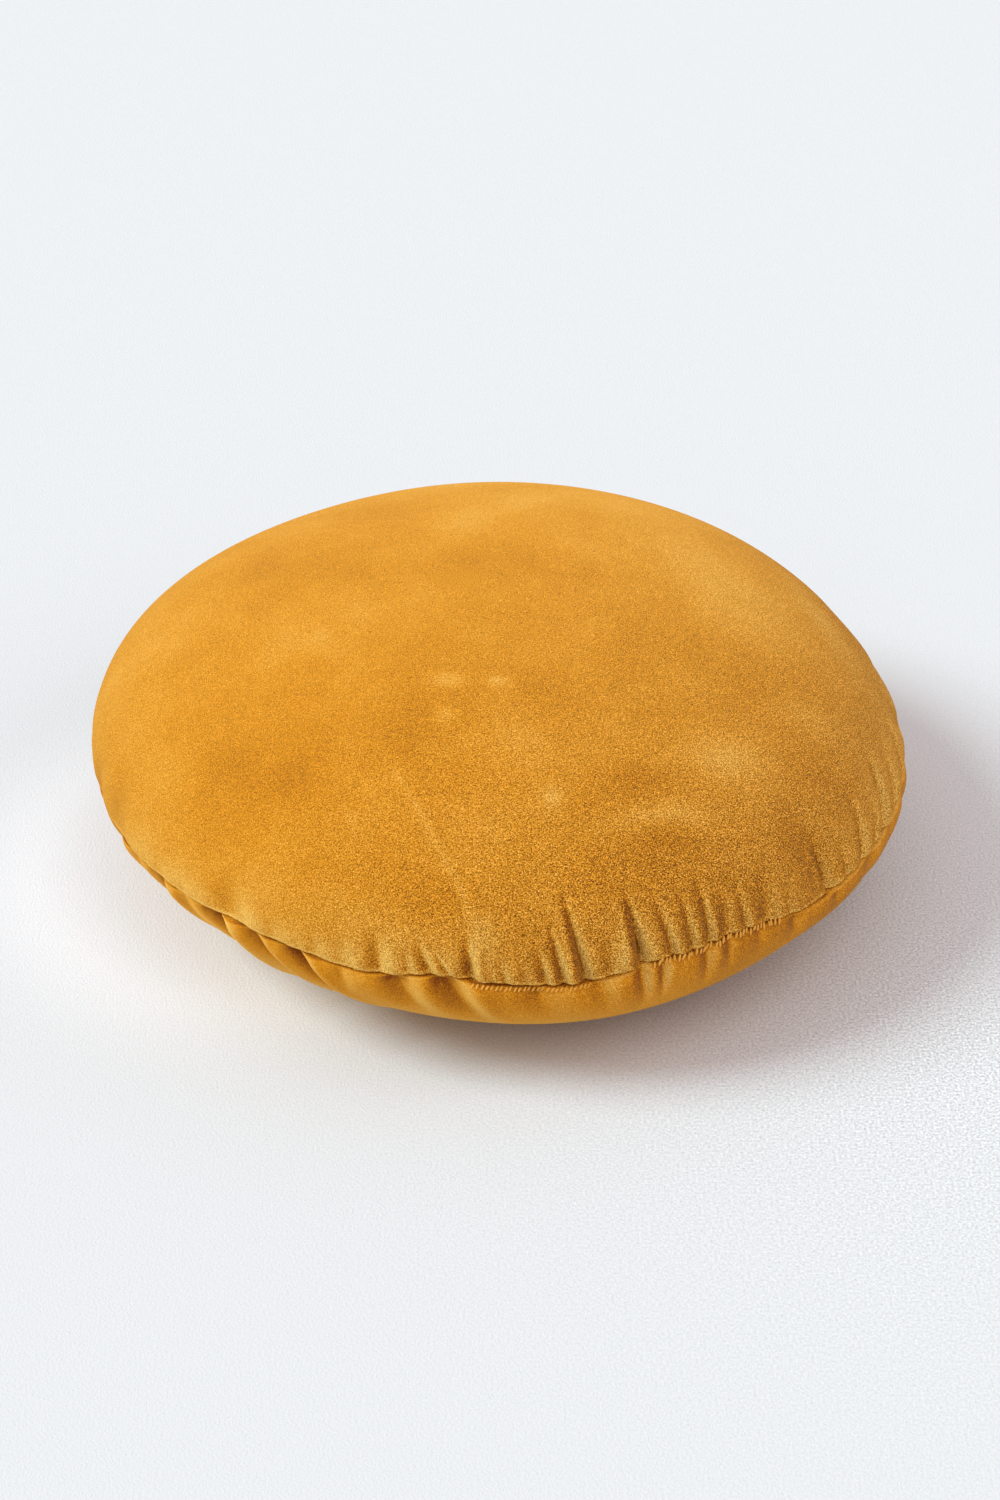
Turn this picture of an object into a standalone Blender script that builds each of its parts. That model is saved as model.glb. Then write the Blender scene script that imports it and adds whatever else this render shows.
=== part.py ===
"""A plump round cushion that lies on its back.

Two circles of velvet are joined right round by a plain knife-edge seam over a soft filling. The upper
circle swells into a dome. The lower one swells less and lies flat where it bears the weight. The filling
has slipped a little, so the dome stands off the middle, and the cloth puckers at the seam on both sides.

Metres, +Z up. The origin is on the surface, under the middle of the outline. The front is -Y.
"""

import collections
import math

import bmesh
import bpy

# Driving dimensions
SEAM_RADIUS = 0.200
CROWN_RISE = 0.090  # top of the dome above the seam
BELLY_DROP = 0.079  # depth of the underside below the seam, had it nothing to lie on
SEAM_HEIGHT = 0.062  # the seam above the surface that the cushion lies on
CONTACT_BLEND = 0.008  # how softly the underside comes down to its flat
LEAN = 0.21  # how far the filling has slipped towards -X, for each metre above the seam
CROWN_FULLNESS = 2.04  # exponent of the dome's section: 2 is an ellipse, less is a lens, more is squarer
BELLY_FULLNESS = 1.88
SEAM_CREASE_DEPTH = 0.0022
SEAM_CREASE_WIDTH = 0.0045

# The mesh
STEPS_ROUND = 180
DOME_RINGS = 14
BELLY_RINGS = 11
RING_CROWDING = 1.7  # more than 1 draws the rings in towards the seam
FLAT_TOLERANCE = 0.00001  # what lies this near the surface lies on it

# Where the filling pushes a panel's shoulder out, or leaves it slack. turn is in degrees round from
# the front towards +X, and spread is how many degrees to each side the push dies away in.
Swell = collections.namedtuple("Swell", "turn spread push")
DOME_SWELLS = [
    Swell(turn=-150, spread=35, push=-0.0022),
    Swell(turn=-45, spread=35, push=-0.0026),
    Swell(turn=45, spread=35, push=-0.0020),
    Swell(turn=135, spread=35, push=0.0053),
    Swell(turn=180, spread=35, push=0.0032),
]
BELLY_SWELLS = [
    Swell(turn=-60, spread=27, push=-0.0014),
    Swell(turn=-25, spread=27, push=0.0024),
    Swell(turn=10, spread=27, push=0.0061),
    Swell(turn=80, spread=27, push=0.0043),
    Swell(turn=190, spread=40, push=0.0030),
]

# The puckers, as soft troughs that run out from the seam. turn is in degrees round from the front
# towards +X. reach is their length from the seam, width is from the middle line to where they have
# nearly faded, and slant is how far they lean towards +X for each metre of reach.
Pucker = collections.namedtuple("Pucker", "turn reach width depth slant")
UPPER_PUCKERS = [
    Pucker(turn=-74, reach=0.030, width=0.011, depth=0.0022, slant=0.0),
    Pucker(turn=-64, reach=0.042, width=0.016, depth=0.0018, slant=0.0),
    Pucker(turn=-37, reach=0.032, width=0.015, depth=0.0030, slant=0.0),
    Pucker(turn=-15, reach=0.022, width=0.010, depth=0.0024, slant=0.0),
    Pucker(turn=-9, reach=0.023, width=0.010, depth=0.0022, slant=0.0),
    Pucker(turn=10, reach=0.034, width=0.008, depth=0.0022, slant=0.1),
    Pucker(turn=18, reach=0.032, width=0.012, depth=0.0045, slant=0.15),
    Pucker(turn=23, reach=0.025, width=0.008, depth=0.0020, slant=0.2),
    Pucker(turn=30, reach=0.030, width=0.014, depth=0.0034, slant=0.2),
    Pucker(turn=38, reach=0.026, width=0.011, depth=0.0022, slant=0.3),
    Pucker(turn=48, reach=0.042, width=0.018, depth=0.0060, slant=0.0),
    Pucker(turn=63, reach=0.018, width=0.009, depth=0.0018, slant=0.3),
    Pucker(turn=73, reach=0.026, width=0.010, depth=0.0022, slant=0.0),
    Pucker(turn=90, reach=0.034, width=0.014, depth=0.0026, slant=-0.1),
]
LOWER_PUCKERS = [
    Pucker(turn=-66, reach=0.018, width=0.012, depth=0.0024, slant=0.0),
    Pucker(turn=-51, reach=0.018, width=0.012, depth=0.0032, slant=0.2),
    Pucker(turn=-40, reach=0.020, width=0.012, depth=0.0045, slant=0.1),
    Pucker(turn=-32, reach=0.026, width=0.010, depth=0.0035, slant=0.1),
    Pucker(turn=-27, reach=0.026, width=0.009, depth=0.0028, slant=0.2),
    Pucker(turn=-16, reach=0.032, width=0.013, depth=0.0028, slant=0.1),
    Pucker(turn=-8, reach=0.034, width=0.011, depth=0.0032, slant=0.1),
    Pucker(turn=6, reach=0.022, width=0.011, depth=0.0016, slant=0.0),
    Pucker(turn=17, reach=0.020, width=0.010, depth=0.0028, slant=0.0),
    Pucker(turn=28, reach=0.018, width=0.009, depth=0.0018, slant=0.0),
    Pucker(turn=42, reach=0.018, width=0.012, depth=0.0024, slant=0.0),
    Pucker(turn=60, reach=0.022, width=0.012, depth=0.0020, slant=0.0),
    Pucker(turn=86, reach=0.024, width=0.012, depth=0.0026, slant=0.0),
]
BACK_TURN = 176  # the back puckers like the front, turned this far round
BACK_EASE = 0.85  # and this much more gently

# Where the seam rides above or below its level, by turn in degrees
Ripple = collections.namedtuple("Ripple", "turn rise spread")
SEAM_RIPPLES = [
    Ripple(turn=-37, rise=0.0026, spread=10),
    Ripple(turn=-18, rise=-0.0022, spread=6),
    Ripple(turn=-7, rise=0.0020, spread=5),
    Ripple(turn=8, rise=-0.0028, spread=8),
    Ripple(turn=21, rise=0.0022, spread=4),
    Ripple(turn=32, rise=0.0028, spread=7),
    Ripple(turn=60, rise=-0.0022, spread=13),
    Ripple(turn=110, rise=0.0020, spread=12),
    Ripple(turn=150, rise=-0.0018, spread=10),
    Ripple(turn=185, rise=0.0022, spread=13),
    Ripple(turn=235, rise=-0.0020, spread=12),
    Ripple(turn=268, rise=0.0016, spread=9),
]
RIPPLE_REACH = 0.030  # how far from the seam its ripples still move the cloth

VELVET_COLOUR = "D7922F"
VELVET_ROUGHNESS = 0.85


def linear_colour(hex_colour):
    """A Blender colour, with alpha, from an sRGB hex colour."""
    shares = [int(hex_colour[i : i + 2], 16) / 255 for i in (0, 2, 4)]
    linear = [s / 12.92 if s <= 0.04045 else ((s + 0.055) / 1.055) ** 2.4 for s in shares]
    return (*linear, 1.0)


def remove_everything():
    for obj in list(bpy.data.objects):
        bpy.data.objects.remove(obj, do_unlink=True)


def fade(share):
    """1 at 0, falling smoothly to 0 at 1."""
    share = min(max(share, 0.0), 1.0)
    return 1 - share * share * (3 - 2 * share)


def degrees_between(a, b):
    """The way from turn b to turn a, between -180 and 180 degrees."""
    return (a - b + 180) % 360 - 180


def oval(angle, height, fullness):
    """(radius, height) on the section of one panel, from the seam at 0 to its middle at 90 degrees."""
    radius = SEAM_RADIUS * max(math.cos(angle), 0.0) ** (2 / fullness)
    return radius, height * math.sin(angle) ** (2 / fullness)


def settled(drop):
    """A depth below the seam, stopped softly at the surface that the cushion lies on."""
    if drop <= SEAM_HEIGHT - CONTACT_BLEND:
        return drop
    if drop >= SEAM_HEIGHT + CONTACT_BLEND:
        return SEAM_HEIGHT
    return SEAM_HEIGHT - (SEAM_HEIGHT + CONTACT_BLEND - drop) ** 2 / (4 * CONTACT_BLEND)


def crowded_angles(rings, last):
    """Angles from 0 to last, closer together near the seam."""
    return [last * (i / rings) ** RING_CROWDING for i in range(rings + 1)]


def section_points():
    """The half section at +X, from the top of the dome, down round the seam, to the middle below."""
    dome = [oval(a, CROWN_RISE, CROWN_FULLNESS) for a in crowded_angles(DOME_RINGS, math.pi / 2)]
    flat_share = (SEAM_HEIGHT + CONTACT_BLEND) / BELLY_DROP
    flat_angle = math.asin(flat_share ** (BELLY_FULLNESS / 2))
    belly = [oval(a, BELLY_DROP, BELLY_FULLNESS) for a in crowded_angles(BELLY_RINGS, flat_angle)]
    belly = [(radius, -settled(drop)) for radius, drop in belly]
    points = dome[::-1] + belly[1:] + [(0.0, -SEAM_HEIGHT)]
    return [(0.0 if radius < 1e-6 else radius, 0.0, z) for radius, z in points]


def spun_body():
    """The even cushion, with its seam at z = 0, as a closed bmesh."""
    body = bmesh.new()
    verts = [body.verts.new(point) for point in section_points()]
    edges = [body.edges.new(pair) for pair in zip(verts, verts[1:])]
    bmesh.ops.spin(
        body,
        geom=verts + edges,
        cent=(0, 0, 0),
        axis=(0, 0, 1),
        angle=math.tau,
        steps=STEPS_ROUND,
        use_merge=True,
    )
    bmesh.ops.remove_doubles(body, verts=body.verts, dist=1e-6)
    bmesh.ops.recalc_face_normals(body, faces=body.faces)
    body.normal_update()
    return body


def pucker_depth(puckers, turn, reach):
    """How deep the cloth lies in the puckers, at a turn round the cushion and a distance from the seam."""
    depth = 0.0
    for pucker in puckers:
        along = math.radians(degrees_between(turn, pucker.turn)) * SEAM_RADIUS
        aside = (along - pucker.slant * reach) / pucker.width
        if abs(aside) < 2:
            depth += pucker.depth * math.exp(-2 * aside * aside) * fade(reach / pucker.reach)
    return depth


def all_round(puckers):
    """The puckers of the front, and the same again at the back, which no view of the front shows."""
    back = [p._replace(turn=p.turn + BACK_TURN, depth=p.depth * BACK_EASE) for p in puckers]
    return puckers + back


def hump(turn, middle, spread):
    """1 at the middle, dying away on both sides of it. All three are in degrees round the cushion."""
    return math.exp(-((degrees_between(turn, middle) / spread) ** 2))


def seam_rise(turn):
    return sum(r.rise * hump(turn, r.turn, r.spread) for r in SEAM_RIPPLES)


def swell(turn, height):
    """How far the filling pushes the cloth out, at a height above or below the seam."""
    swells, most = (DOME_SWELLS, CROWN_RISE) if height > 0 else (BELLY_SWELLS, SEAM_HEIGHT)
    share = abs(height) / most
    return 4 * share * (1 - share) * sum(s.push * hump(turn, s.turn, s.spread) for s in swells)


def shape_body(body):
    """Sets the swells, puckers, seam and slipped filling into the even cushion, and lays it down."""
    upper = all_round(UPPER_PUCKERS)
    lower = all_round(LOWER_PUCKERS)
    moved = {}
    for vert in body.verts:
        radius = math.hypot(vert.co.x, vert.co.y)
        if vert.co.z < -SEAM_HEIGHT + FLAT_TOLERANCE or radius == 0:
            continue
        turn = math.degrees(math.atan2(vert.co.x, -vert.co.y))
        reach = math.hypot(SEAM_RADIUS - radius, vert.co.z)
        height = swell(turn, vert.co.z)
        height -= SEAM_CREASE_DEPTH * math.exp(-((reach / SEAM_CREASE_WIDTH) ** 2))
        height -= pucker_depth(upper if vert.co.z >= 0 else lower, turn, reach)
        place = vert.co + height * vert.normal
        place.z += seam_rise(turn) * fade(reach / RIPPLE_REACH)
        moved[vert] = place
    for vert, place in moved.items():
        vert.co = place
    for vert in body.verts:
        vert.co.x -= LEAN * vert.co.z
        height = vert.co.z + SEAM_HEIGHT
        vert.co.z = height if height > FLAT_TOLERANCE else 0.0


def centre_on_outline(body):
    """Puts the origin under the middle of the cushion's outline."""
    xs = [vert.co.x for vert in body.verts]
    ys = [vert.co.y for vert in body.verts]
    middle = (-(min(xs) + max(xs)) / 2, -(min(ys) + max(ys)) / 2, 0)
    bmesh.ops.translate(body, verts=body.verts, vec=middle)


def velvet_material():
    material = bpy.data.materials.new("cotton_velvet_ochre")
    material.use_nodes = True
    shader = material.node_tree.nodes["Principled BSDF"]
    shader.inputs["Base Color"].default_value = linear_colour(VELVET_COLOUR)
    shader.inputs["Roughness"].default_value = VELVET_ROUGHNESS
    shader.inputs["Metallic"].default_value = 0.0
    return material


def make_cushion(collection):
    body = spun_body()
    shape_body(body)
    centre_on_outline(body)
    mesh = bpy.data.meshes.new("cushion")
    body.to_mesh(mesh)
    body.free()
    mesh.shade_smooth()
    mesh.materials.append(velvet_material())
    collection.objects.link(bpy.data.objects.new("cushion", mesh))


remove_everything()
round_cushion = bpy.data.collections.new("round_cushion")
bpy.context.scene.collection.children.link(round_cushion)
make_cushion(round_cushion)
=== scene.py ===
import collections
import math

import bmesh
import bpy
import numpy as np
from mathutils import Matrix, Vector
from mathutils.bvhtree import BVHTree


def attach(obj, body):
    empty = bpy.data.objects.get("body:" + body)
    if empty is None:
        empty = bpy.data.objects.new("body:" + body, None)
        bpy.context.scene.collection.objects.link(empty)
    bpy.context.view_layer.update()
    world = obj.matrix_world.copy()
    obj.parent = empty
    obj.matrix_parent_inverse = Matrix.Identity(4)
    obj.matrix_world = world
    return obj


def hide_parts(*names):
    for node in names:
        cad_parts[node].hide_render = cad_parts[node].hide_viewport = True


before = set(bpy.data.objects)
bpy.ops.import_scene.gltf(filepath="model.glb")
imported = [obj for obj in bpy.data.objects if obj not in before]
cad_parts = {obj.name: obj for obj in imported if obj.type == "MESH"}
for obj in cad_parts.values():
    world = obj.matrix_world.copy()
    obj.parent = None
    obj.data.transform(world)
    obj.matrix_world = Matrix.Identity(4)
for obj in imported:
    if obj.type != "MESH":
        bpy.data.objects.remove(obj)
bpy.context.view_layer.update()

# The cushion's place
# It lies on its back on a pale surface, and the camera looks down on its face from the front. The seam's
# middle is the point that the camera's distance and height are measured from.
SEAM_RADIUS = 0.200
SEAM_HEIGHT = 0.062
seam_middle = Vector((0, 0, SEAM_HEIGHT))

CAMERA_DISTANCE = 1.4
CAMERA_ELEVATION = math.radians(32.8)
CAMERA_LENS = 67.2
SENSOR_LONG_SIDE = 36.0
PHOTO_LONG_SIDE = 1500
SEAM_MIDDLE_LEFT = 2.0  # how far the seam's middle shows left of the picture's middle, in its 1500 pixels
SEAM_MIDDLE_UP = 14.5
towards_camera = Vector((0, -math.cos(CAMERA_ELEVATION), math.sin(CAMERA_ELEVATION)))
picture_right = Vector((1, 0, 0))
picture_up = towards_camera.cross(picture_right)
metres_per_pixel = SENSOR_LONG_SIDE / PHOTO_LONG_SIDE * CAMERA_DISTANCE / CAMERA_LENS
aim = seam_middle + (SEAM_MIDDLE_LEFT * picture_right - SEAM_MIDDLE_UP * picture_up) * metres_per_pixel

camera_data = bpy.data.cameras.new("camera")
camera_data.lens = CAMERA_LENS
camera_data.sensor_width = SENSOR_LONG_SIDE
camera_data.sensor_fit = "AUTO"
camera = bpy.data.objects.new("camera", camera_data)
camera.location = seam_middle + CAMERA_DISTANCE * towards_camera
camera.rotation_euler = (aim - camera.location).to_track_quat("-Z", "Y").to_euler()
bpy.context.scene.collection.objects.link(camera)
bpy.context.scene.camera = camera


# The surface and the light
# A smooth pale table under plain studio light: one large soft lamp from the left, a weaker and wider one from
# the front right, and a bright room all round. The table's colour has a painted pool of light round the
# cushion.
def linear(hex_colour):
    """The linear colour, with alpha, of an sRGB hex colour."""
    shares = [int(hex_colour[i : i + 2], 16) / 255 for i in (0, 2, 4)]
    return (*[s / 12.92 if s <= 0.04045 else ((s + 0.055) / 1.055) ** 2.4 for s in shares], 1.0)


def add_node(material, kind, settings=None, **links):
    """Adds a node. settings are its own properties. Each link names an input, spaces as _, and gives
    either a value or another node's output."""
    node = material.node_tree.nodes.new(kind)
    for name, value in (settings or {}).items():
        setattr(node, name, value)
    for name, value in links.items():
        socket = node.inputs[int(name[1:])] if name[1:].isdigit() else node.inputs[name.replace("_", " ")]
        if isinstance(value, bpy.types.NodeSocket):
            material.node_tree.links.new(value, socket)
        else:
            socket.default_value = value
    return node


def new_material(name):
    """A material with nothing in it but its Principled BSDF."""
    material = bpy.data.materials.new(name)
    material.use_nodes = True
    return material, material.node_tree.nodes["Principled BSDF"]


SURFACE_SIZE = 8.0
SURFACE_PAINTED_POOL = "E4E6E8"  # the table's colour in a painted pool of light round the cushion
SURFACE_FAR = "CFD1D2"
PAINTED_POOL = 0.23  # the radius in metres of the painted pool of light
PAINTED_POOL_X = -0.105
PAINTED_POOL_Y = -0.012
PAINTED_POOL_RIM = 0.22  # the share of the painted pool's strength at which it reaches its full colour
TABLE_GRAIN = 0.0013
TABLE_GRAIN_DEPTH = 0.0004
GRAIN_POOL = 0.45  # the radius in metres within which the paint's grain shows
GRAIN_POOL_X = 0.22
GRAIN_POOL_Y = -0.16
GRAIN_CONTRAST = 2.0
surface_material, surface_shader = new_material("matt_painted_table")
table_place = add_node(surface_material, "ShaderNodeTexCoord").outputs["Object"]
painted_pool_place = add_node(
    surface_material,
    "ShaderNodeMapping",
    Vector=table_place,
    Location=(-PAINTED_POOL_X / PAINTED_POOL, -PAINTED_POOL_Y / PAINTED_POOL, 0),
    Scale=(1 / PAINTED_POOL, 1 / PAINTED_POOL, 1),
).outputs["Vector"]
painted_pool = add_node(
    surface_material, "ShaderNodeTexGradient", {"gradient_type": "QUADRATIC_SPHERE"}, Vector=painted_pool_place
).outputs["Fac"]
# Painted light: the table's colour rises from SURFACE_FAR to a painted pool of light round the cushion.
table_ramp = add_node(surface_material, "ShaderNodeValToRGB", Fac=painted_pool)
table_ramp.color_ramp.interpolation = "EASE"
table_ramp.color_ramp.elements[0].color = linear(SURFACE_FAR)
table_ramp.color_ramp.elements[1].color = linear(SURFACE_PAINTED_POOL)
table_ramp.color_ramp.elements[1].position = PAINTED_POOL_RIM
surface_shader.inputs["Roughness"].default_value = 0.8
surface_shader.inputs["Specular IOR Level"].default_value = 0.15
table_grain = add_node(
    surface_material,
    "ShaderNodeTexNoise",
    Vector=table_place,
    Scale=1 / TABLE_GRAIN,
    Detail=2.0,
    Roughness=0.7,
).outputs["Fac"]
grain_place = add_node(
    surface_material,
    "ShaderNodeMapping",
    Vector=table_place,
    Location=(-GRAIN_POOL_X / GRAIN_POOL, -GRAIN_POOL_Y / GRAIN_POOL, 0),
    Scale=(1 / GRAIN_POOL, 1 / GRAIN_POOL, 1),
).outputs["Vector"]
grain_share = add_node(
    surface_material, "ShaderNodeTexGradient", {"gradient_type": "QUADRATIC_SPHERE"}, Vector=grain_place
).outputs["Fac"]
grain_tone = add_node(
    surface_material, "ShaderNodeMath", {"operation": "SUBTRACT"}, _0=table_grain, _1=0.5
).outputs[0]
grain_tone = add_node(
    surface_material, "ShaderNodeMath", {"operation": "MULTIPLY"}, _0=grain_tone, _1=grain_share
).outputs[0]
grain_tone = add_node(
    surface_material,
    "ShaderNodeMath",
    {"operation": "MULTIPLY_ADD"},
    _0=grain_tone,
    _1=GRAIN_CONTRAST,
    _2=1.0,
).outputs[0]
grained = add_node(
    surface_material,
    "ShaderNodeVectorMath",
    {"operation": "SCALE"},
    _0=table_ramp.outputs["Color"],
    Scale=grain_tone,
).outputs["Vector"]
surface_material.node_tree.links.new(grained, surface_shader.inputs["Base Color"])
table_bump = add_node(
    surface_material, "ShaderNodeBump", Height=table_grain, Strength=1.0, Distance=TABLE_GRAIN_DEPTH
)
surface_material.node_tree.links.new(table_bump.outputs["Normal"], surface_shader.inputs["Normal"])
plane = bmesh.new()
bmesh.ops.create_grid(plane, x_segments=1, y_segments=1, size=SURFACE_SIZE / 2)
surface_mesh = bpy.data.meshes.new("surface")
plane.to_mesh(surface_mesh)
plane.free()
surface_mesh.materials.append(surface_material)
surface = bpy.data.objects.new("surface", surface_mesh)
bpy.context.scene.collection.objects.link(surface)


def soft_light(name, turn, elevation, spread, strength, colour):
    """A distant light. turn is its way round the cushion from the front, elevation its height, and spread
    how wide it looks, all in degrees."""
    light = bpy.data.lights.new(name, "SUN")
    light.angle = math.radians(spread)
    light.energy = strength
    light.color = linear(colour)[:3]
    light_object = bpy.data.objects.new(name, light)
    light_object.rotation_euler = (math.radians(90 - elevation), 0, math.radians(turn))
    bpy.context.scene.collection.objects.link(light_object)


soft_light("window", turn=-88.5, elevation=40, spread=26, strength=2.86, colour="E8FBFF")
soft_light("front_fill", turn=62, elevation=50, spread=60, strength=0.84, colour="FFF7F4")

ROOM_COLOUR = "FFF5F7"
ROOM_STRENGTH = 0.73
world = bpy.data.worlds.new("bright_room")
world.use_nodes = True
world.node_tree.nodes["Background"].inputs["Color"].default_value = linear(ROOM_COLOUR)
world.node_tree.nodes["Background"].inputs["Strength"].default_value = ROOM_STRENGTH
bpy.context.scene.world = world
bpy.context.scene.view_settings.view_transform = "Standard"

# The velvet cover
# Two circles of cotton velvet, sewn face to face right round and turned out over soft fibre. The filling
# has slipped towards the left, so the dome stands off the middle, and the cloth puckers at the seam.
CROWN_RISE = 0.090
BELLY_DROP = 0.079
CONTACT_BLEND = 0.008
LEAN = 0.21
CROWN_FULLNESS = 2.04
BELLY_FULLNESS = 1.88

# turn is in degrees round from the front towards +X.
Swell = collections.namedtuple("Swell", "turn spread push")
DOME_SWELLS = [
    Swell(turn=-150, spread=35, push=-0.0022),
    Swell(turn=-45, spread=35, push=-0.0026),
    Swell(turn=45, spread=35, push=-0.0020),
    Swell(turn=135, spread=35, push=0.0053),
    Swell(turn=180, spread=35, push=0.0032),
]
BELLY_SWELLS = [
    Swell(turn=-60, spread=27, push=-0.0014),
    Swell(turn=-46, spread=14, push=-0.0022),
    Swell(turn=-25, spread=27, push=0.0024),
    Swell(turn=10, spread=27, push=0.0061),
    Swell(turn=80, spread=27, push=0.0010),
    Swell(turn=190, spread=40, push=0.0030),
]
Ripple = collections.namedtuple("Ripple", "turn rise spread")
SEAM_RIPPLES = [
    Ripple(turn=-52, rise=0.0020, spread=8),
    Ripple(turn=-37, rise=0.0026, spread=10),
    Ripple(turn=-18, rise=-0.0022, spread=6),
    Ripple(turn=-7, rise=0.0020, spread=5),
    Ripple(turn=8, rise=-0.0028, spread=8),
    Ripple(turn=12, rise=-0.0023, spread=30),
    Ripple(turn=21, rise=0.0022, spread=4),
    Ripple(turn=32, rise=0.0028, spread=7),
    Ripple(turn=49, rise=-0.0034, spread=8),
    Ripple(turn=62, rise=-0.0020, spread=13),
    Ripple(turn=110, rise=0.0020, spread=12),
    Ripple(turn=150, rise=-0.0018, spread=10),
    Ripple(turn=185, rise=0.0022, spread=13),
    Ripple(turn=235, rise=-0.0020, spread=12),
    Ripple(turn=268, rise=0.0016, spread=9),
]
RIPPLE_REACH = 0.030
SEAM_PUSH = 0.0028  # the seam stands out further on the right, where little filling reaches it
SEAM_PUSH_TURN = 84
SEAM_PUSH_SPREAD = 34

# The puckers run out from the seam. crisp is 0 for a soft dimple and 1 for a sharp crease. ridge is the
# height of the roll of cloth beside the trough, on its +X side, or on its -X side where it is negative.
Pucker = collections.namedtuple("Pucker", "turn reach width depth slant crisp ridge")
UPPER_PUCKERS = [
    Pucker(-74, 0.030, 0.011, 0.0022, 0.0, 0.0, 0.0),
    Pucker(-64, 0.042, 0.016, 0.0018, 0.0, 0.0, 0.0),
    Pucker(-51, 0.018, 0.008, 0.0009, 0.0, 0.2, 0.0),
    Pucker(-37, 0.032, 0.015, 0.0030, 0.0, 0.0, 0.0008),
    Pucker(-30, 0.018, 0.007, 0.0009, 0.0, 0.2, 0.0),
    Pucker(-24, 0.016, 0.006, 0.0012, 0.0, 0.3, 0.0),
    Pucker(-20, 0.018, 0.007, 0.0010, 0.0, 0.3, 0.0004),
    Pucker(-15.5, 0.024, 0.0072, 0.0028, 0.1, 0.2, 0.0006),
    Pucker(-11.5, 0.018, 0.005, 0.0013, 0.1, 0.4, 0.0),
    Pucker(-8.5, 0.021, 0.0052, 0.0032, -0.2, 0.4, 0.0008),
    Pucker(-6, 0.014, 0.0036, 0.0020, -0.4, 0.5, 0.0008),
    Pucker(-3.4, 0.024, 0.0050, 0.0046, 0.1, 0.6, 0.0024),
    Pucker(0.8, 0.016, 0.004, 0.0014, 0.0, 0.6, 0.0003),
    Pucker(3.5, 0.014, 0.0035, 0.0013, 0.0, 0.6, 0.0),
    Pucker(5.9, 0.020, 0.0048, 0.0032, 0.0, 0.7, 0.0006),
    Pucker(8.2, 0.028, 0.0040, 0.0048, 0.0, 0.9, 0.0012),
    Pucker(11.1, 0.042, 0.0046, 0.0056, 0.0, 0.8, -0.0012),
    Pucker(14.6, 0.024, 0.007, 0.0018, 0.1, 0.4, 0.0),
    Pucker(19.0, 0.038, 0.0064, 0.0088, 0.06, 0.9, -0.0016),
    Pucker(23.3, 0.034, 0.0045, 0.0033, 0.0, 0.6, 0.0008),
    Pucker(26.1, 0.034, 0.0042, 0.0034, 0.1, 0.6, 0.0),
    Pucker(28.7, 0.036, 0.0044, 0.0038, 0.15, 0.5, 0.0008),
    Pucker(31.5, 0.030, 0.009, 0.0032, 0.15, 0.5, 0.0),
    Pucker(34.5, 0.028, 0.0048, 0.0028, 0.1, 0.7, 0.0005),
    Pucker(38, 0.028, 0.010, 0.0030, 0.2, 0.2, 0.0006),
    Pucker(42, 0.018, 0.005, 0.0022, 0.0, 0.6, 0.0004),
    Pucker(49.6, 0.052, 0.018, 0.0030, 0.05, 0.0, 0.0),
    Pucker(50.4, 0.030, 0.0055, 0.0056, 0.05, 0.7, -0.0012),
    Pucker(54.5, 0.024, 0.005, 0.0022, 0.1, 0.5, 0.0),
    Pucker(58.5, 0.034, 0.006, 0.0028, 0.5, 0.5, 0.0008),
    Pucker(62.4, 0.024, 0.0045, 0.0018, 0.7, 0.6, 0.0002),
    Pucker(66.0, 0.040, 0.0055, 0.0044, 0.8, 0.7, 0.0012),
    Pucker(71.5, 0.032, 0.0075, 0.0022, 0.9, 0.2, 0.0004),
    Pucker(79, 0.032, 0.0095, 0.0020, 0.9, 0.2, 0.0004),
    Pucker(90, 0.030, 0.014, 0.0020, -0.1, 0.1, 0.0),
    Pucker(99, 0.020, 0.006, 0.0018, 0.0, 0.5, 0.0004),
]
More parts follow.
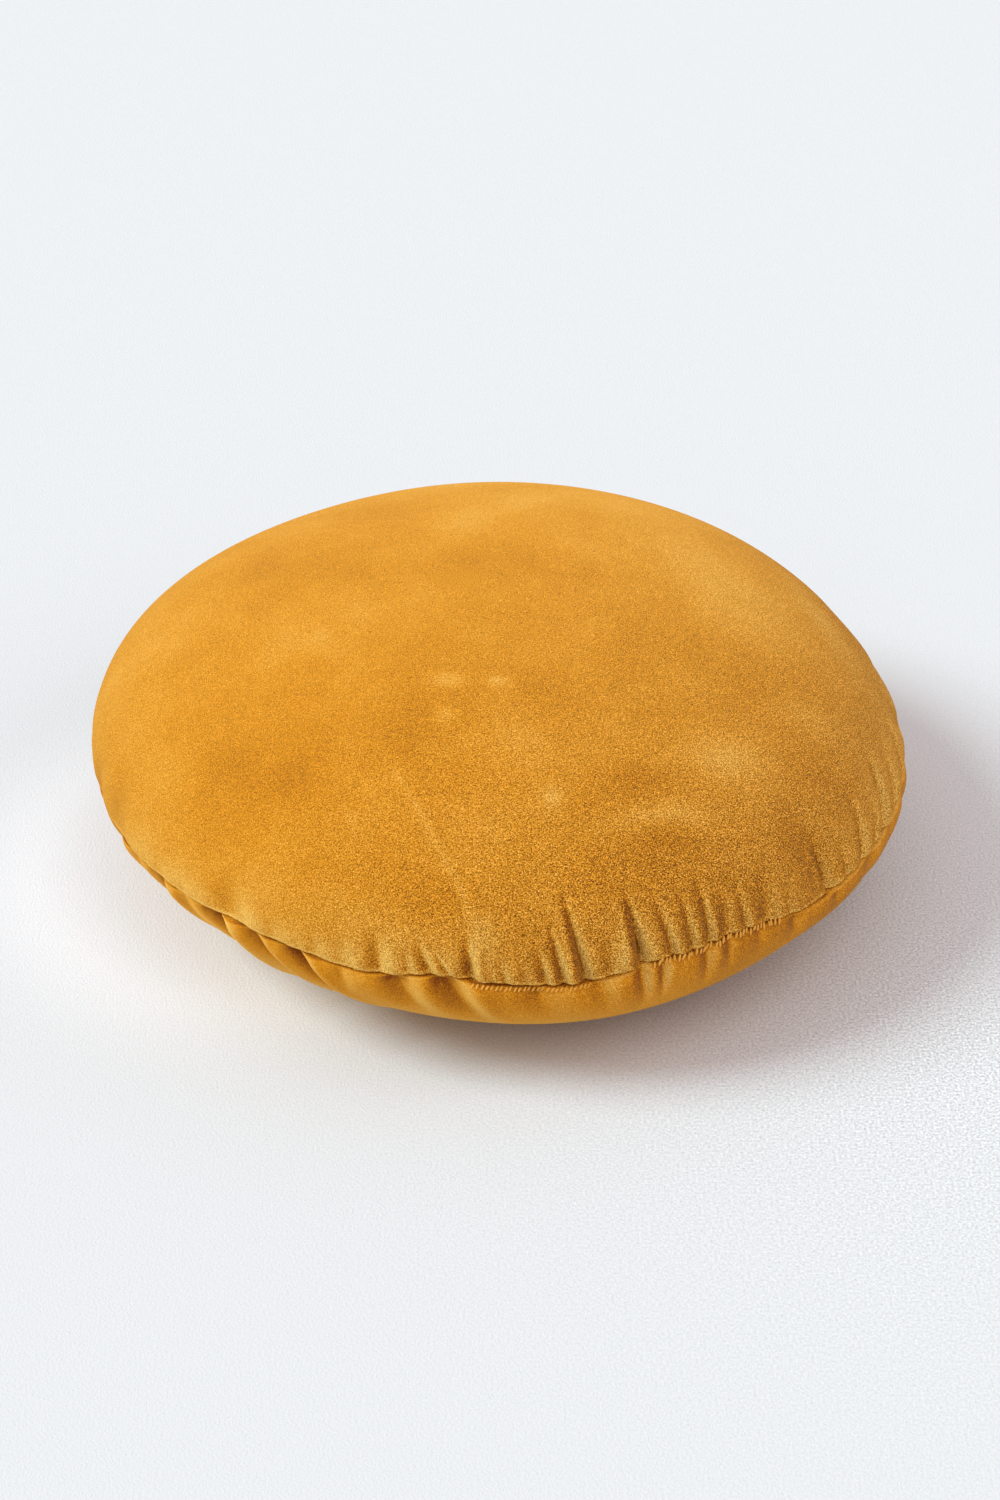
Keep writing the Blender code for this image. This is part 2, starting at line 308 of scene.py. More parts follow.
LOWER_PUCKERS = [
    Pucker(-73, 0.014, 0.008, 0.0014, 0.0, 0.2, 0.0),
    Pucker(-66, 0.040, 0.011, 0.0034, 0.4, 0.2, 0.0010),
    Pucker(-59, 0.016, 0.007, 0.0020, 0.1, 0.3, 0.0),
    Pucker(-52.5, 0.055, 0.010, 0.0064, 0.4, 0.4, 0.0026),
    Pucker(-46.5, 0.022, 0.006, 0.0018, 0.1, 0.4, 0.0),
    Pucker(-40.7, 0.065, 0.011, 0.0084, 0.5, 0.4, 0.0036),
    Pucker(-34.0, 0.055, 0.008, 0.0048, 0.6, 0.5, 0.0018),
    Pucker(-27.5, 0.058, 0.009, 0.0064, 0.6, 0.4, 0.0028),
    Pucker(-21, 0.016, 0.006, 0.0018, 0.1, 0.4, 0.0),
    Pucker(-13.6, 0.036, 0.012, 0.0048, 0.3, 0.2, 0.0014),
    Pucker(-7.0, 0.040, 0.012, 0.0056, 0.4, 0.2, 0.0024),
    Pucker(4.5, 0.028, 0.012, 0.0030, 0.2, 0.1, 0.0),
    Pucker(12.5, 0.026, 0.009, 0.0024, 0.1, 0.2, 0.0008),
    Pucker(18.6, 0.024, 0.006, 0.0040, -0.1, 0.5, 0.0008),
    Pucker(21.6, 0.022, 0.005, 0.0034, -0.2, 0.7, 0.0006),
    Pucker(28, 0.024, 0.006, 0.0034, -0.2, 0.6, 0.0006),
    Pucker(31.5, 0.020, 0.005, 0.0026, -0.2, 0.6, 0.0),
    Pucker(36, 0.014, 0.006, 0.0016, 0.0, 0.3, 0.0),
    Pucker(42.5, 0.020, 0.008, 0.0030, -0.1, 0.4, 0.0005),
    Pucker(51, 0.016, 0.007, 0.0020, 0.0, 0.3, 0.0),
    Pucker(60, 0.022, 0.010, 0.0024, 0.0, 0.2, 0.0006),
    Pucker(68, 0.015, 0.006, 0.0018, 0.0, 0.4, 0.0),
    Pucker(77, 0.018, 0.008, 0.0022, 0.0, 0.3, 0.0),
    Pucker(86, 0.024, 0.012, 0.0026, 0.0, 0.2, 0.0006),
    Pucker(97, 0.016, 0.007, 0.0014, 0.0, 0.4, 0.0),
]
SEAM_GRIP = 0.5  # how much of a pucker's depth the stitches hold back at the seam itself
SEAM_GRIP_REACH = 0.0028
BACK_TURN = 176  # the back, which the photograph doesn't show, puckers like the front turned this far
BACK_EASE = 0.85
SOFT_FALL = 2.0  # how quickly a soft dimple and a sharp crease rise out of their troughs
CRISP_FALL = 3.2
CREASE_NARROWING = 0.5
ROLL_PLACE = 0.9  # the roll beside a trough, its middle and its width, as shares of the trough's width
ROLL_WIDTH = 0.55
GATHERS = 150  # tiny gathers in each panel's edge, a few stitches apart
GATHER_DEPTH = 0.0006
GATHER_WIDTH = 0.0024
GATHER_REACH = 0.009

SEAM_DRAW_DEPTH = 0.0007  # how far the seam pulls the cloth in all round
SEAM_DRAW_WIDTH = 0.0035
SEAM_SLIT_DEPTH = 0.0026  # the crevice where the two edges meet
SEAM_SLIT_WIDTH = 0.0005
SEAM_SLIT_SHARPNESS = 1.5
SEAM_GAP_STEP = 2.5  # the crevice opens and closes over about this many degrees
NARROWEST_GAP = 0.4
FLAT_TOLERANCE = 0.00001

ROUND_STEPS = 784
DOUBLINGS = 4  # one sixteenth is spun and then doubled four times, which is much quicker
WELD_DISTANCE = 0.00002
FIRST_RING = 0.0003  # the rings start this far apart at the seam, and each is wider than the last
RING_GROWTH = 1.1
FRONT_CROWDING = 0.35  # the steps are this much closer together at the puckered front than on average
FRONT_TURN = 12
WIDEST_DOME_RING = 0.0040
WIDEST_BELLY_RING = 0.0070


def degrees_between(a, b):
    """The way from turn b to turn a, between -180 and 180 degrees."""
    return (a - b + 180) % 360 - 180


def fade(share):
    """1 at 0, falling smoothly to 0 at 1."""
    share = np.clip(share, 0, 1)
    return 1 - share * share * (3 - 2 * share)


def hump(turn, middle, spread):
    """1 at the middle, dying away on both sides of it. All three are in degrees round the cushion."""
    return np.exp(-((degrees_between(turn, middle) / spread) ** 2))


def panel_section(height, fullness, last_share, widest_ring):
    """(radius, height) of one panel's rings, at these distances from the seam along the cloth."""
    angle = np.linspace(0, math.asin(last_share ** (fullness / 2)), 4000)
    radius = SEAM_RADIUS * np.cos(angle) ** (2 / fullness)
    level = height * np.sin(angle) ** (2 / fullness)
    along = np.r_[0, np.cumsum(np.hypot(np.diff(radius), np.diff(level)))]
    gap, distances = FIRST_RING, [0.0]
    while distances[-1] < along[-1]:
        distances.append(distances[-1] + gap)
        gap = min(gap * RING_GROWTH, widest_ring)
    distances = np.array(distances) * along[-1] / distances[-1]
    return list(zip(np.interp(distances, along, radius), np.interp(distances, along, level)))


def settled(drop):
    """A depth below the seam, stopped softly at the surface that the cushion lies on."""
    if drop <= SEAM_HEIGHT - CONTACT_BLEND:
        return drop
    if drop >= SEAM_HEIGHT + CONTACT_BLEND:
        return SEAM_HEIGHT
    return SEAM_HEIGHT - (SEAM_HEIGHT + CONTACT_BLEND - drop) ** 2 / (4 * CONTACT_BLEND)


def spun_cover():
    """The even cover as a closed mesh, with its seam at z = 0 and the middle of the seam at the origin."""
    dome = panel_section(CROWN_RISE, CROWN_FULLNESS, 1.0, WIDEST_DOME_RING)
    flat_share = (SEAM_HEIGHT + CONTACT_BLEND) / BELLY_DROP
    belly = panel_section(BELLY_DROP, BELLY_FULLNESS, flat_share, WIDEST_BELLY_RING)
    flat_radius = belly[-1][0]
    under = [(flat_radius * share, -SEAM_HEIGHT) for share in (0.75, 0.5, 0.25, 0)]
    section = dome[::-1] + [(radius, -settled(drop)) for radius, drop in belly[1:]] + under
    body = bmesh.new()
    verts = [body.verts.new((0.0 if radius < 1e-6 else radius, 0, z)) for radius, z in section]
    edges = [body.edges.new(pair) for pair in zip(verts, verts[1:])]
    wedge = math.tau / 2**DOUBLINGS
    wedge_steps = ROUND_STEPS // 2**DOUBLINGS
    bmesh.ops.spin(body, geom=verts + edges, cent=(0, 0, 0), axis=(0, 0, 1), angle=wedge, steps=wedge_steps)
    for doubling in range(DOUBLINGS):
        copied = bmesh.ops.duplicate(body, geom=body.verts[:] + body.edges[:] + body.faces[:])["geom"]
        copied_verts = [part for part in copied if isinstance(part, bmesh.types.BMVert)]
        turned = Matrix.Rotation(wedge * 2**doubling, 3, "Z")
        bmesh.ops.rotate(body, verts=copied_verts, cent=(0, 0, 0), matrix=turned)
    bmesh.ops.remove_doubles(body, verts=body.verts, dist=WELD_DISTANCE)
    for vert in body.verts:
        from_front = math.atan2(vert.co.x, -vert.co.y) - math.radians(FRONT_TURN)
        vert.co.rotate(Matrix.Rotation(-FRONT_CROWDING * math.sin(from_front), 3, "Z"))
    bmesh.ops.recalc_face_normals(body, faces=body.faces)
    mesh = bpy.data.meshes.new("spun_cover")
    body.to_mesh(mesh)
    body.free()
    return mesh


def read_points(mesh):
    """The mesh's points and their outward directions, as arrays."""
    points = np.empty(len(mesh.vertices) * 3)
    mesh.vertices.foreach_get("co", points)
    outward = np.empty(len(mesh.vertices) * 3)
    mesh.vertex_normals.foreach_get("vector", outward)
    return points.reshape(-1, 3), outward.reshape(-1, 3)


def all_round(puckers):
    """The puckers of the front, and the same again at the back, a little gentler."""
    return puckers + [
        p._replace(turn=p.turn + BACK_TURN, depth=p.depth * BACK_EASE, ridge=p.ridge * BACK_EASE)
        for p in puckers
    ]


def pucker_height(puckers, turn, reach):
    """How far the puckers move the cloth, at turns round the cushion and distances from the seam."""
    height = np.zeros_like(turn)
    for pucker in puckers:
        near = reach < pucker.reach
        share = reach[near] / pucker.reach
        along = np.radians(degrees_between(turn[near], pucker.turn)) * SEAM_RADIUS
        narrowing = 1 - CREASE_NARROWING * pucker.crisp * share
        aside = (along - pucker.slant * reach[near]) / (pucker.width * narrowing)
        soft = np.exp(-SOFT_FALL * aside**2)
        sharp = np.exp(-CRISP_FALL * np.abs(aside))
        trough = -pucker.depth * ((1 - pucker.crisp) * soft + pucker.crisp * sharp)
        side = math.copysign(1, pucker.ridge)
        roll = abs(pucker.ridge) * np.exp(-(((aside * side - ROLL_PLACE) / ROLL_WIDTH) ** 2))
        held = SEAM_GRIP * np.exp(-((reach[near] / SEAM_GRIP_REACH) ** 2))
        height[near] += (trough + roll) * fade(share) * (1 - held)
    return height


def gathers(seed):
    """Tiny uneven gathers, all round one panel's edge."""
    dice = np.random.default_rng(seed)
    spacing = 360 / GATHERS
    return [
        Pucker(
            turn=spacing * (i + dice.uniform(-0.4, 0.4)),
            reach=GATHER_REACH * dice.uniform(0.5, 1.4),
            width=GATHER_WIDTH * dice.uniform(0.7, 1.3),
            depth=GATHER_DEPTH * dice.uniform(0.2, 1.3),
            slant=dice.uniform(-0.2, 0.2),
            crisp=dice.uniform(0.2, 0.9),
            ridge=0.0,
        )
        for i in range(GATHERS)
    ]


def places_on_cover(points):
    """Each point's turn round the cushion in degrees, its distance from the seam, and whether it is above
    the seam."""
    radius = np.hypot(points[:, 0], points[:, 1])
    turn = np.degrees(np.arctan2(points[:, 0], -points[:, 1]))
    return turn, np.hypot(SEAM_RADIUS - radius, points[:, 2]), points[:, 2] >= 0


def swell(turn, level):
    """How far the filling pushes the cloth out, at levels above or below the seam, most of all halfway
    from the seam to the end of each panel's rise or drop."""
    push = np.zeros_like(turn)
    for swells, most, side in ((DOME_SWELLS, CROWN_RISE, level > 0), (BELLY_SWELLS, SEAM_HEIGHT, level <= 0)):
        share = np.abs(level[side]) / most
        hill = sum(s.push * hump(turn[side], s.turn, s.spread) for s in swells)
        push[side] = 4 * share * (1 - share) * hill
    return push


def lie_down(points):
    """Lets the filling slip, and lifts the cushion onto the surface."""
    points[:, 0] -= LEAN * points[:, 2]
    points[:, 2] += SEAM_HEIGHT
    points[:, 2] = np.where(points[:, 2] > FLAT_TOLERANCE, points[:, 2], 0)


cover_mesh = spun_cover()
cover_mesh.name = "cushion_cover"
even_points, outward = read_points(cover_mesh)
turn, reach, upper = places_on_cover(even_points)
on_flat = even_points[:, 2] < -SEAM_HEIGHT + FLAT_TOLERANCE
height = swell(turn, even_points[:, 2])
folds = np.zeros_like(height)
folds[upper] = pucker_height(all_round(UPPER_PUCKERS) + gathers(seed=3), turn[upper], reach[upper])
folds[~upper] = pucker_height(all_round(LOWER_PUCKERS) + gathers(seed=5), turn[~upper], reach[~upper])
height += folds
gap_turns = np.arange(-180, 180, SEAM_GAP_STEP)
gap_shares = np.random.default_rng(7).uniform(NARROWEST_GAP, 1.0, len(gap_turns))
seam_gap = np.interp(turn, gap_turns, gap_shares, period=360)
height -= SEAM_DRAW_DEPTH * np.exp(-((reach / SEAM_DRAW_WIDTH) ** 2))
height -= SEAM_SLIT_DEPTH * seam_gap * np.exp(-((reach / SEAM_SLIT_WIDTH) ** SEAM_SLIT_SHARPNESS))
height[on_flat] = 0
points = even_points + height[:, None] * outward
push = SEAM_PUSH * hump(turn, SEAM_PUSH_TURN, SEAM_PUSH_SPREAD) * fade(reach / RIPPLE_REACH)
points[:, 0] += push * np.sin(np.radians(turn))
points[:, 1] -= push * np.cos(np.radians(turn))
points[:, 2] += sum(r.rise * hump(turn, r.turn, r.spread) for r in SEAM_RIPPLES) * fade(reach / RIPPLE_REACH)
lie_down(points)
cover_mesh.vertices.foreach_set("co", points.ravel())
cover_mesh.update()
cover_mesh.shade_smooth()
even_outward = outward
points, outward = read_points(cover_mesh)

# Painted light and shade in the velvet's colour: slopes that a fold tips towards the lamp at the left are
# painted pale, troughs are painted deep, and the tufts' painted light and shade show most on slopes that face
# the right front, where the lamp's light grazes.
TOWARDS_LAMP = np.array((-0.80, -0.10, 0.45))
FOLD_SHADING = 2.6  # how much painted light and shade change the tone as a fold tips the cloth towards or away from the lamp
FULL_TROUGH = 0.007  # a trough this deep gets the full painted shade
# Two runs of hand stitches close the seam at the front, with painted shade on the lower panel just below
# them.
Run = collections.namedtuple("Run", "first_turn last_turn below length slant uneven pitch thickness")
STITCH_RUNS = [
    Run(-3.5, 12, below=0.0015, length=0.0028, slant=1.3, uneven=0.12, pitch=0.0021, thickness=0.0010),
    Run(20, 40, below=0.0001, length=0.0032, slant=0.9, uneven=0.40, pitch=0.0021, thickness=0.0012),
]
# Painted shade on the lower panel just below the stitch runs.
STITCH_SHADE_REACH = 0.0034
STITCH_SHADE = -0.4
# Broad bands of painted light and shade: pale above the seam and on the lower panel at the front left, on the
# side that faces the lamp, and deeper on the lower panel towards the right, away from it. Each dies away
# round the cushion from its turn, and those with a reach also die away with distance from the seam.
PaintedBand = collections.namedtuple("PaintedBand", "turn spread reach tone")
UPPER_PAINTED_BANDS = [
    PaintedBand(turn=-30, spread=70, reach=0.026, tone=0.32),
    PaintedBand(turn=-28, spread=34, reach=0.011, tone=0.52),
]
LOWER_PAINTED_BANDS = [
    PaintedBand(turn=-45, spread=32, reach=math.inf, tone=0.55),
    PaintedBand(turn=36, spread=12, reach=math.inf, tone=-0.20),
    PaintedBand(turn=85, spread=40, reach=math.inf, tone=-0.40),
]
BACK_SHEEN = 0.10  # painted sheen makes the upper panel a little paler where it faces the back, and painted shade makes it deeper at the right
BACKWARDS = np.array((-0.15, 0.90, 0))
RIGHT_SHADE = -0.40
RIGHTWARDS = np.array((0.95, -0.10, 0))
LOWER_SHARE = 0.8  # the lower panel's painted light and shade from its folds show less, and painted shade makes it a little deeper in colour
LOWER_SHADE = -0.10
# Painted shade on the lower panel just under the seam, where the upper panel overhangs it.
UNDER_SEAM_SHADE = -0.32
UNDER_SEAM_REACH = 0.022
LOW_RIM_SHEEN = 0.40  # painted sheen makes the front of the lower panel pale again towards the surface, along the bottom outline
LOW_RIM_START = 0.016
LOW_RIM_REACH = 0.024
LOW_RIM_TURN = -10
LOW_RIM_SPREAD = 60
SEAM_LIP_HIGHLIGHT = 0.5  # a painted highlight along the folded edge above the seam
SEAM_LIP_PLACE = 0.0018
SEAM_LIP_WIDTH = 0.0008
# Painted shade in the crevice where the two edges meet.
SEAM_GAP_SHADE = -1.3
SEAM_GAP_WIDTH = 0.0006
LEAST_TUFT_SHADE = 0.54  # how much the tufts and their painted light and shade show, most on slopes that face the right front, where the lamp's light grazes
MOST_TUFT_SHADE = 1.35
GRAZED_SIDE = np.array((0.9025, -0.589, 0))
LOWER_TUFT_SHADE = 0.4
# Soft patches of tone on the upper panel. Most are marks where a hand has brushed the pile; the pale ones at
# the right back are painted sheen, and the broad dark ones at the front right of the dome are painted shade.
Brush = collections.namedtuple("Brush", "x y length width turn tone")
BRUSH_MARKS_AND_PAINTED_LIGHT = [
    Brush(-0.0234, -0.0803, 0.016, 0.008, 0, 0.60),
    Brush(0.0, -0.0811, 0.013, 0.007, 0, 0.60),
    Brush(-0.0241, -0.1025, 0.009, 0.009, 0, 0.45),
    Brush(0.0245, -0.1435, 0.009, 0.010, -30, 0.60),
    Brush(0.1065, -0.1040, 0.034, 0.020, 20, 0.50),
    Brush(0.0750, -0.1417, 0.044, 0.011, 20, 0.45),
    Brush(0.010, -0.113, 0.040, 0.036, 0, 0.15),
    Brush(-0.017, 0.067, 0.030, 0.036, 0, 0.24),
    Brush(0.014, 0.099, 0.026, 0.040, 0, 0.24),
    Brush(0.110, 0.030, 0.110, 0.060, -45, 0.40),
    Brush(0.166, 0.028, 0.070, 0.018, -65, 0.35),
    Brush(-0.084, -0.044, 0.014, 0.018, 0, 0.24),
    Brush(-0.127, -0.013, 0.014, 0.018, 0, 0.17),
    Brush(-0.107, -0.052, 0.030, 0.016, 30, 0.14),
    Brush(0.143, -0.060, 0.026, 0.018, 0, 0.21),
    Brush(-0.0075, -0.197, 0.012, 0.014, 0, 0.45),
    Brush(-0.0330, -0.1550, 0.060, 0.0032, -61, 0.32),
    Brush(-0.066, -0.150, 0.024, 0.0025, -60, 0.21),
    Brush(-0.0160, -0.1820, 0.018, 0.0035, -61, 0.32),
    Brush(-0.147, -0.034, 0.034, 0.032, 30, -0.10),
    Brush(-0.060, 0.092, 0.044, 0.036, 0, -0.14),
    Brush(-0.080, 0.045, 0.240, 0.170, 0, -0.13),
    Brush(0.001, 0.020, 0.060, 0.036, 0, -0.14),
    Brush(0.064, -0.128, 0.034, 0.013, 10, -0.21),
    Brush(0.040, -0.146, 0.020, 0.016, 0, -0.17),
    Brush(0.077, -0.150, 0.026, 0.010, 20, -0.24),
    Brush(-0.026, -0.184, 0.040, 0.014, 0, -0.21),
    Brush(0.095, -0.049, 0.026, 0.016, 0, -0.10),
    Brush(0.090, -0.168, 0.060, 0.030, 20, -0.22),
    Brush(-0.074, -0.167, 0.050, 0.016, -25, -0.10),
    Brush(-0.117, -0.118, 0.070, 0.030, -45, -0.10),
    Brush(-0.072, -0.112, 0.150, 0.070, 20, -0.22),
    Brush(0.092, -0.104, 0.050, 0.030, 15, 0.20),
    Brush(0.157, -0.089, 0.040, 0.034, 30, -0.20),
]


def brushed_and_painted_light(points, marks):
    """The tone that the brush marks, painted sheen and painted shade give at these points of the upper panel.
    """
    tone = np.zeros(len(points))
    for mark in marks:
        aside = points[:, :2] - (mark.x, mark.y)
        cos, sin = math.cos(math.radians(mark.turn)), math.sin(math.radians(mark.turn))
        along = (aside @ (cos, sin)) / (mark.length / 2)
        across = (aside @ (-sin, cos)) / (mark.width / 2)
        tone += mark.tone * np.exp(-(along**2 + across**2))
    return tone


def painted_bands(turn, reach, bands):
    """The painted light and shade that the bands give at turns round the cushion and distances from the seam.
    """
    return sum(n.tone * np.exp(-((reach / n.reach) ** 2)) * hump(turn, n.turn, n.spread) for n in bands)


# Painted light and shade: slopes that the folds tip towards the lamp are paler, troughs deeper.
painted_light_and_nap = FOLD_SHADING * ((outward - even_outward) @ TOWARDS_LAMP) + folds / FULL_TROUGH
# Painted sheen at the back of the upper panel and painted shade at its right, the side away from the lamp.
painted_light_and_nap += BACK_SHEEN * np.maximum(even_outward @ BACKWARDS, 0) * upper
painted_light_and_nap += RIGHT_SHADE * np.maximum(even_outward @ RIGHTWARDS, 0) * upper
# Painted light in a band above the seam at the front left.
painted_light_and_nap[upper] += painted_bands(turn[upper], reach[upper], UPPER_PAINTED_BANDS)
# Brush marks, with painted sheen and painted shade among them.
painted_light_and_nap[upper] += brushed_and_painted_light(points[upper], BRUSH_MARKS_AND_PAINTED_LIGHT)
lower_turn, lower_reach = turn[~upper], reach[~upper]
# Painted shade on the lower panel, deepest just under the seam, and painted sheen along its bottom outline at
# the front.
lower_tone = LOWER_SHARE * painted_light_and_nap[~upper] + LOWER_SHADE
lower_tone += UNDER_SEAM_SHADE * fade(lower_reach / UNDER_SEAM_REACH)
low_rim = 1 - fade((lower_reach - LOW_RIM_START) / LOW_RIM_REACH)
lower_tone += LOW_RIM_SHEEN * low_rim * hump(lower_turn, LOW_RIM_TURN, LOW_RIM_SPREAD)
# Painted light on the lower panel at the front left and painted shade towards the right.
lower_tone += painted_bands(lower_turn, lower_reach, LOWER_PAINTED_BANDS)
painted_light_and_nap[~upper] = lower_tone
# Painted highlight on the folded edge above the seam.
painted_light_and_nap += SEAM_LIP_HIGHLIGHT * np.exp(-(((reach - SEAM_LIP_PLACE) / SEAM_LIP_WIDTH) ** 2)) * upper
# Painted shade in the seam's crevice.
painted_light_and_nap += SEAM_GAP_SHADE * seam_gap * np.exp(-((reach / SEAM_GAP_WIDTH) ** 2))
# Painted shade along the stitch runs, on the lower panel just below the seam.
for run in STITCH_RUNS:
    stitch_shaded = (turn > run.first_turn) & (turn < run.last_turn) & ~upper
    painted_light_and_nap += STITCH_SHADE * np.where(stitch_shaded, fade(reach / STITCH_SHADE_REACH), 0)
painted_light_and_nap[on_flat] = 0
# Painted light and shade of the tufts, strongest on slopes facing the right front and weaker on the lower
# panel.
grazing_tuft_shade = np.clip(LEAST_TUFT_SHADE + even_outward @ GRAZED_SIDE, LEAST_TUFT_SHADE, MOST_TUFT_SHADE)
grazing_tuft_shade *= np.where(upper, 1, LOWER_TUFT_SHADE)
for name, values in (("painted_light_and_nap", np.clip(painted_light_and_nap, -1, 1)), ("pile_grazing_tuft_shade", grazing_tuft_shade)):
    pile = cover_mesh.attributes.new(name, "FLOAT", "POINT")
    pile.data.foreach_set("value", values)


# Cotton velvet: a short dense pile, cut by machine. It is matt and deep in colour seen from above, and
# pale where it is seen along the pile.
VELVET_DEEP = "803D05"
VELVET_COLOUR = "CE8711"
VELVET_PALE = "E2B256"
VELVET_SHEEN = "EAB95A"
PILE_TUFT = 0.00058
TUFT_CONTRAST = 2.2
TUFT_TONE = 1.6
DARKEST_TUFT = 0.3
TUFT_DEPTH = 0.0010
PATCH_CONTRAST = 0.44
BRUSH_SIZE = 0.048  # the usual size of the soft patches where a hand has passed over the pile

velvet, velvet_shader = new_material("cotton_velvet_ochre")
place = add_node(velvet, "ShaderNodeTexCoord").outputs["Object"]
tufts = add_node(
    velvet, "ShaderNodeTexNoise", Vector=place, Scale=1 / PILE_TUFT, Detail=1.0, Roughness=0.6
).outputs["Fac"]
patches = add_node(
    velvet, "ShaderNodeTexNoise", Vector=place, Scale=1 / BRUSH_SIZE, Detail=5.0, Roughness=0.64
).outputs["Fac"]
painted_light_and_nap_read = add_node(velvet, "ShaderNodeAttribute", {"attribute_name": "painted_light_and_nap"}).outputs["Fac"]
grazing_tuft_shade_read = add_node(velvet, "ShaderNodeAttribute", {"attribute_name": "pile_grazing_tuft_shade"}).outputs["Fac"]
tuft_tone = add_node(velvet, "ShaderNodeMath", {"operation": "SUBTRACT"}, _0=tufts, _1=0.5).outputs[0]
tuft_relief_and_shade = add_node(
    velvet, "ShaderNodeMath", {"operation": "MULTIPLY"}, _0=tuft_tone, _1=grazing_tuft_shade_read
).outputs[0]
patch_tone = add_node(
    velvet,
    "ShaderNodeMath",
    {"operation": "MULTIPLY_ADD"},
    _0=patches,
    _1=PATCH_CONTRAST,
    _2=0.5 - PATCH_CONTRAST / 2,
).outputs[0]
small_tone = add_node(
    velvet, "ShaderNodeMath", {"operation": "MULTIPLY_ADD"}, _0=tuft_relief_and_shade, _1=TUFT_TONE, _2=patch_tone
).outputs[0]
tone = add_node(
    velvet, "ShaderNodeMath", {"operation": "MULTIPLY_ADD"}, _0=painted_light_and_nap_read, _1=0.5, _2=small_tone
).outputs[0]
# The tone runs from VELVET_DEEP, in painted shade, through the cloth's own colour to VELVET_PALE, in painted
# light; the brush marks, tufts and random patches also move it.
ramp = add_node(velvet, "ShaderNodeValToRGB", Fac=tone)
ramp.color_ramp.elements[0].color = linear(VELVET_DEEP)
ramp.color_ramp.elements[1].color = linear(VELVET_PALE)
ramp.color_ramp.elements.new(0.5).color = linear(VELVET_COLOUR)
bump = add_node(velvet, "ShaderNodeBump", Height=tuft_relief_and_shade, Strength=1.0, Distance=TUFT_DEPTH)
# Painted light and shade: the tufts' tips lighten and their gaps darken the base colour.
tuft_light = add_node(
    velvet, "ShaderNodeMath", {"operation": "MULTIPLY_ADD"}, _0=tuft_relief_and_shade, _1=TUFT_CONTRAST, _2=1.0
).outputs[0]
tuft_light = add_node(
    velvet, "ShaderNodeMath", {"operation": "MAXIMUM"}, _0=tuft_light, _1=DARKEST_TUFT
).outputs[0]
tufted = add_node(
    velvet, "ShaderNodeVectorMath", {"operation": "SCALE"}, _0=ramp.outputs["Color"], Scale=tuft_light
).outputs["Vector"]
velvet.node_tree.links.new(tufted, velvet_shader.inputs["Base Color"])
velvet.node_tree.links.new(bump.outputs["Normal"], velvet_shader.inputs["Normal"])
velvet_shader.inputs["Roughness"].default_value = 0.9
velvet_shader.inputs["Specular IOR Level"].default_value = 0.15
velvet_shader.inputs["Diffuse Roughness"].default_value = 0.3
velvet_shader.inputs["Sheen Weight"].default_value = 0.5
velvet_shader.inputs["Sheen Roughness"].default_value = 0.5
velvet_shader.inputs["Sheen Tint"].default_value = linear(VELVET_SHEEN)

cover_mesh.materials.append(velvet)
cover = bpy.data.objects.new("cushion_cover", cover_mesh)
bpy.context.scene.collection.objects.link(cover)
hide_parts("cushion")
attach(cover, "root")

# The closing stitches
# Where the filling went in, the seam is closed by hand with slanted stitches of cotton thread in the cloth's
# colour. The first run lies just under the seam's line, and the second crosses it.
THREAD_COLOUR = "DEA03C"
STITCH_WANDER = 0.0012  # how far an uneven stitch strays above or below its run
STITCH_STAND = 0.3  # how far a stitch's middle stands off the cloth, as a share of its thickness
OUTSIDE = 1.3  # how far from the middle the way in to the cover starts, in seam radii

thread, thread_shader = new_material("cotton_sewing_thread")
thread_shader.inputs["Base Color"].default_value = linear(THREAD_COLOUR)
thread_shader.inputs["Roughness"].default_value = 0.7
thread_shader.inputs["Specular IOR Level"].default_value = 0.3

cover_tree = BVHTree.FromPolygons(points.tolist(), [list(face.vertices) for face in cover_mesh.polygons])


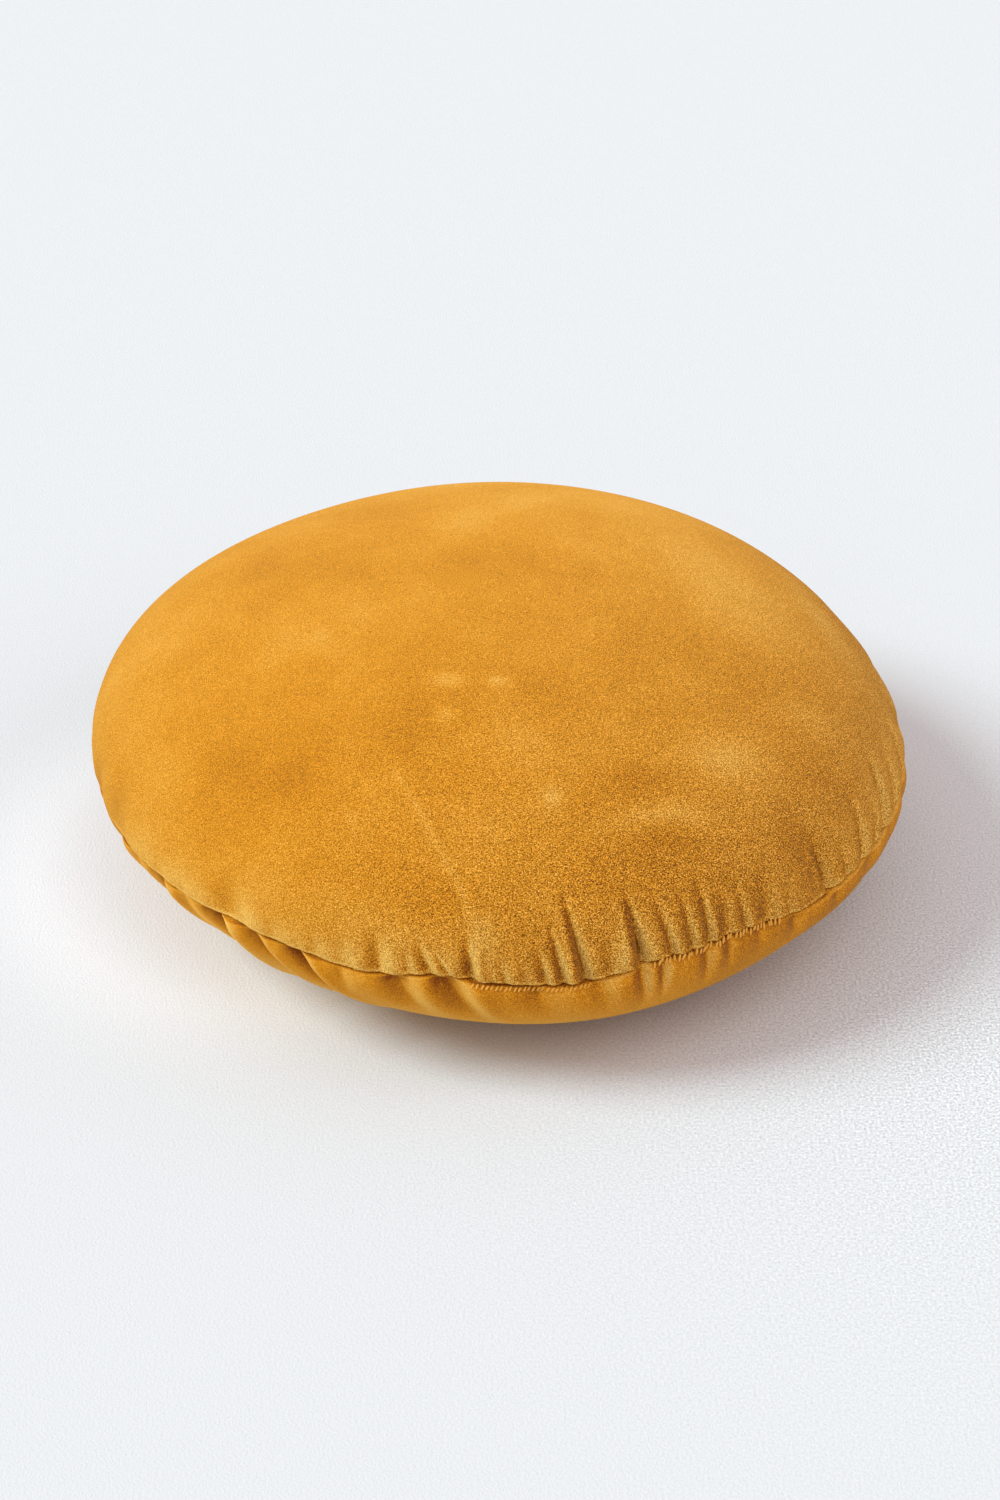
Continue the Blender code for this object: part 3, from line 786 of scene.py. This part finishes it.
def spot_on_cover(turn, level):
    """The point and outward direction of the cover at a turn and a height above the table."""
    away = Vector((math.sin(math.radians(turn)), -math.cos(math.radians(turn)), 0))
    spot, facing, _, _ = cover_tree.ray_cast(away * SEAM_RADIUS * OUTSIDE + Vector((0, 0, level)), -away)
    return spot, facing


stitches = bmesh.new()
dice = np.random.default_rng(11)
for run in STITCH_RUNS:
    count = round(math.radians(run.last_turn - run.first_turn) * SEAM_RADIUS / run.pitch)
    for number in range(count):
        turn = run.first_turn + (run.last_turn - run.first_turn) * (number + 0.5) / count
        turn += math.degrees(run.pitch / SEAM_RADIUS) * run.uneven * dice.uniform(-0.7, 0.7)
        seam_level = SEAM_HEIGHT + sum(r.rise * hump(turn, r.turn, r.spread) for r in SEAM_RIPPLES)
        level = seam_level - run.below + STITCH_WANDER * run.uneven * dice.uniform(-1, 1)
        length = run.length * (1 + run.uneven * dice.uniform(-0.5, 0.5))
        lean = math.degrees(run.slant * length / 2 / SEAM_RADIUS) * (1 + run.uneven * dice.uniform(-1, 1))
        half_rise = length / 2.6  # the needle goes in a little short of the stitch's ends
        low, low_facing = spot_on_cover(turn - lean / 2, level - half_rise)
        high, high_facing = spot_on_cover(turn + lean / 2, level + half_rise)
        facing = (low_facing + high_facing).normalized()
        along = (high - low).normalized()
        across = facing.cross(along).normalized()
        middle = (low + high) / 2 + facing * run.thickness * STITCH_STAND
        placed = Matrix.Translation(middle) @ Matrix((across, facing, along)).transposed().to_4x4()
        shaped = Matrix.Diagonal((run.thickness / 2, run.thickness / 2, length / 2, 1))
        bmesh.ops.create_uvsphere(stitches, u_segments=8, v_segments=6, radius=1, matrix=placed @ shaped)
stitch_mesh = bpy.data.meshes.new("closing_stitches")
stitches.to_mesh(stitch_mesh)
stitches.free()
stitch_mesh.materials.append(thread)
stitch_mesh.shade_smooth()
closing_stitches = bpy.data.objects.new("closing_stitches", stitch_mesh)
bpy.context.scene.collection.objects.link(closing_stitches)
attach(closing_stitches, "root")
